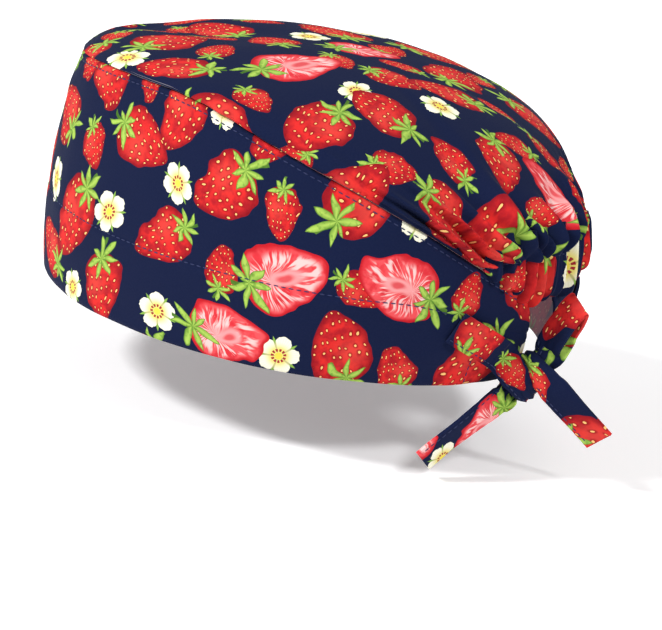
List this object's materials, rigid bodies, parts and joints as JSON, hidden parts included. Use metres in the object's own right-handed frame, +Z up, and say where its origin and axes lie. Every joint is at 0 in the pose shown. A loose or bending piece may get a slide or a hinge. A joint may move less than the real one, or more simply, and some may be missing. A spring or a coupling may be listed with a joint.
{
  "type": "surgical scrub cap",
  "caption": "Tie-back surgical scrub cap of printed cotton, worn form: soft crown gathered into an elastic casing over a rear opening, tall side band, knotted flat ties",
  "frame": {"origin": "middle of the head opening, level with the rim, where a head holds the cap", "axes": "+Z up out of the crown, +Y to the wearer's back, +X to the wearer's left"},
  "size_m": [0.163, 0.2377, 0.1271],
  "materials": {
    "printed_cotton": "matt plain-woven cotton, navy ground with a tossed print of red strawberries, green leaves and white flowers"
  },
  "bodies": {
    "root": {"crown": "printed_cotton", "side_band": "printed_cotton", "elastic_casing": "printed_cotton", "left_tie": "printed_cotton", "right_tie": "printed_cotton"}
  },
  "joints": []
}
